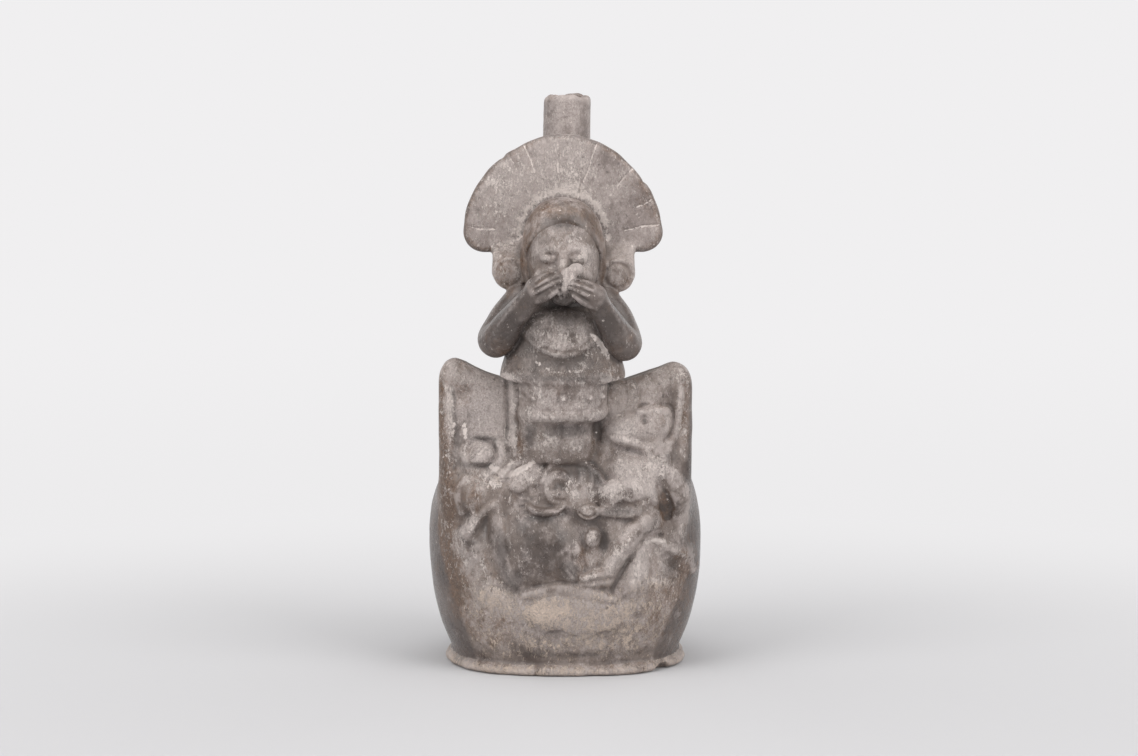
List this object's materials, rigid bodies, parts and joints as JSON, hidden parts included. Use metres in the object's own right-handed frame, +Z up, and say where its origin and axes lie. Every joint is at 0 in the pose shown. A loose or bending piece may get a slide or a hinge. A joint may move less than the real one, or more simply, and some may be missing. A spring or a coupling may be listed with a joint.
{
  "type": "stirrup spout bottle",
  "caption": "Hollow blackware bottle: oval foot, chamber with a relief front and two peaks, a standing figure in a fan headdress, and a stirrup-shaped handle that carries the spout.",
  "frame": {"origin": "middle of the foot's flat underside, on the surface it stands on", "axes": "+Z up through the spout, the figure looks towards -Y, +X to the right as seen from the front"},
  "size_m": [0.113, 0.1076, 0.235],
  "materials": {
    "burnished_blackware": "smoke-fired clay, burnished to a soft sheen, dark grey-brown",
    "encrusted_blackware": "the same clay, worn matt, with pale mineral crust in its hollows",
    "pale_crust": "the same clay under a pale pinkish-grey mineral crust, matt"
  },
  "bodies": {
    "root": {"chamber": "burnished_blackware", "stirrup_front_leg": "burnished_blackware", "stirrup_rear_leg": "burnished_blackware", "arm_left": "burnished_blackware", "arm_right": "burnished_blackware", "foot_slab": "encrusted_blackware", "front_panel": "encrusted_blackware", "figure_torso": "encrusted_blackware", "figure_kilt": "encrusted_blackware", "figure_legs": "encrusted_blackware", "figure_head": "encrusted_blackware", "cap": "encrusted_blackware", "collar": "encrusted_blackware", "ear_spool_left": "encrusted_blackware", "ear_spool_right": "encrusted_blackware", "relief_middle_head": "encrusted_blackware", "relief_left_arm": "encrusted_blackware", "relief_right_arm": "encrusted_blackware", "relief_small_head": "encrusted_blackware", "relief_foot": "encrusted_blackware", "relief_left_body": "encrusted_blackware", "relief_left_leg": "encrusted_blackware", "relief_right_body": "encrusted_blackware", "relief_right_leg": "encrusted_blackware", "relief_right_animal": "encrusted_blackware", "relief_left_animal": "encrusted_blackware", "spout": "pale_crust", "headdress_fan": "pale_crust", "whistle": "pale_crust"}
  },
  "joints": []
}
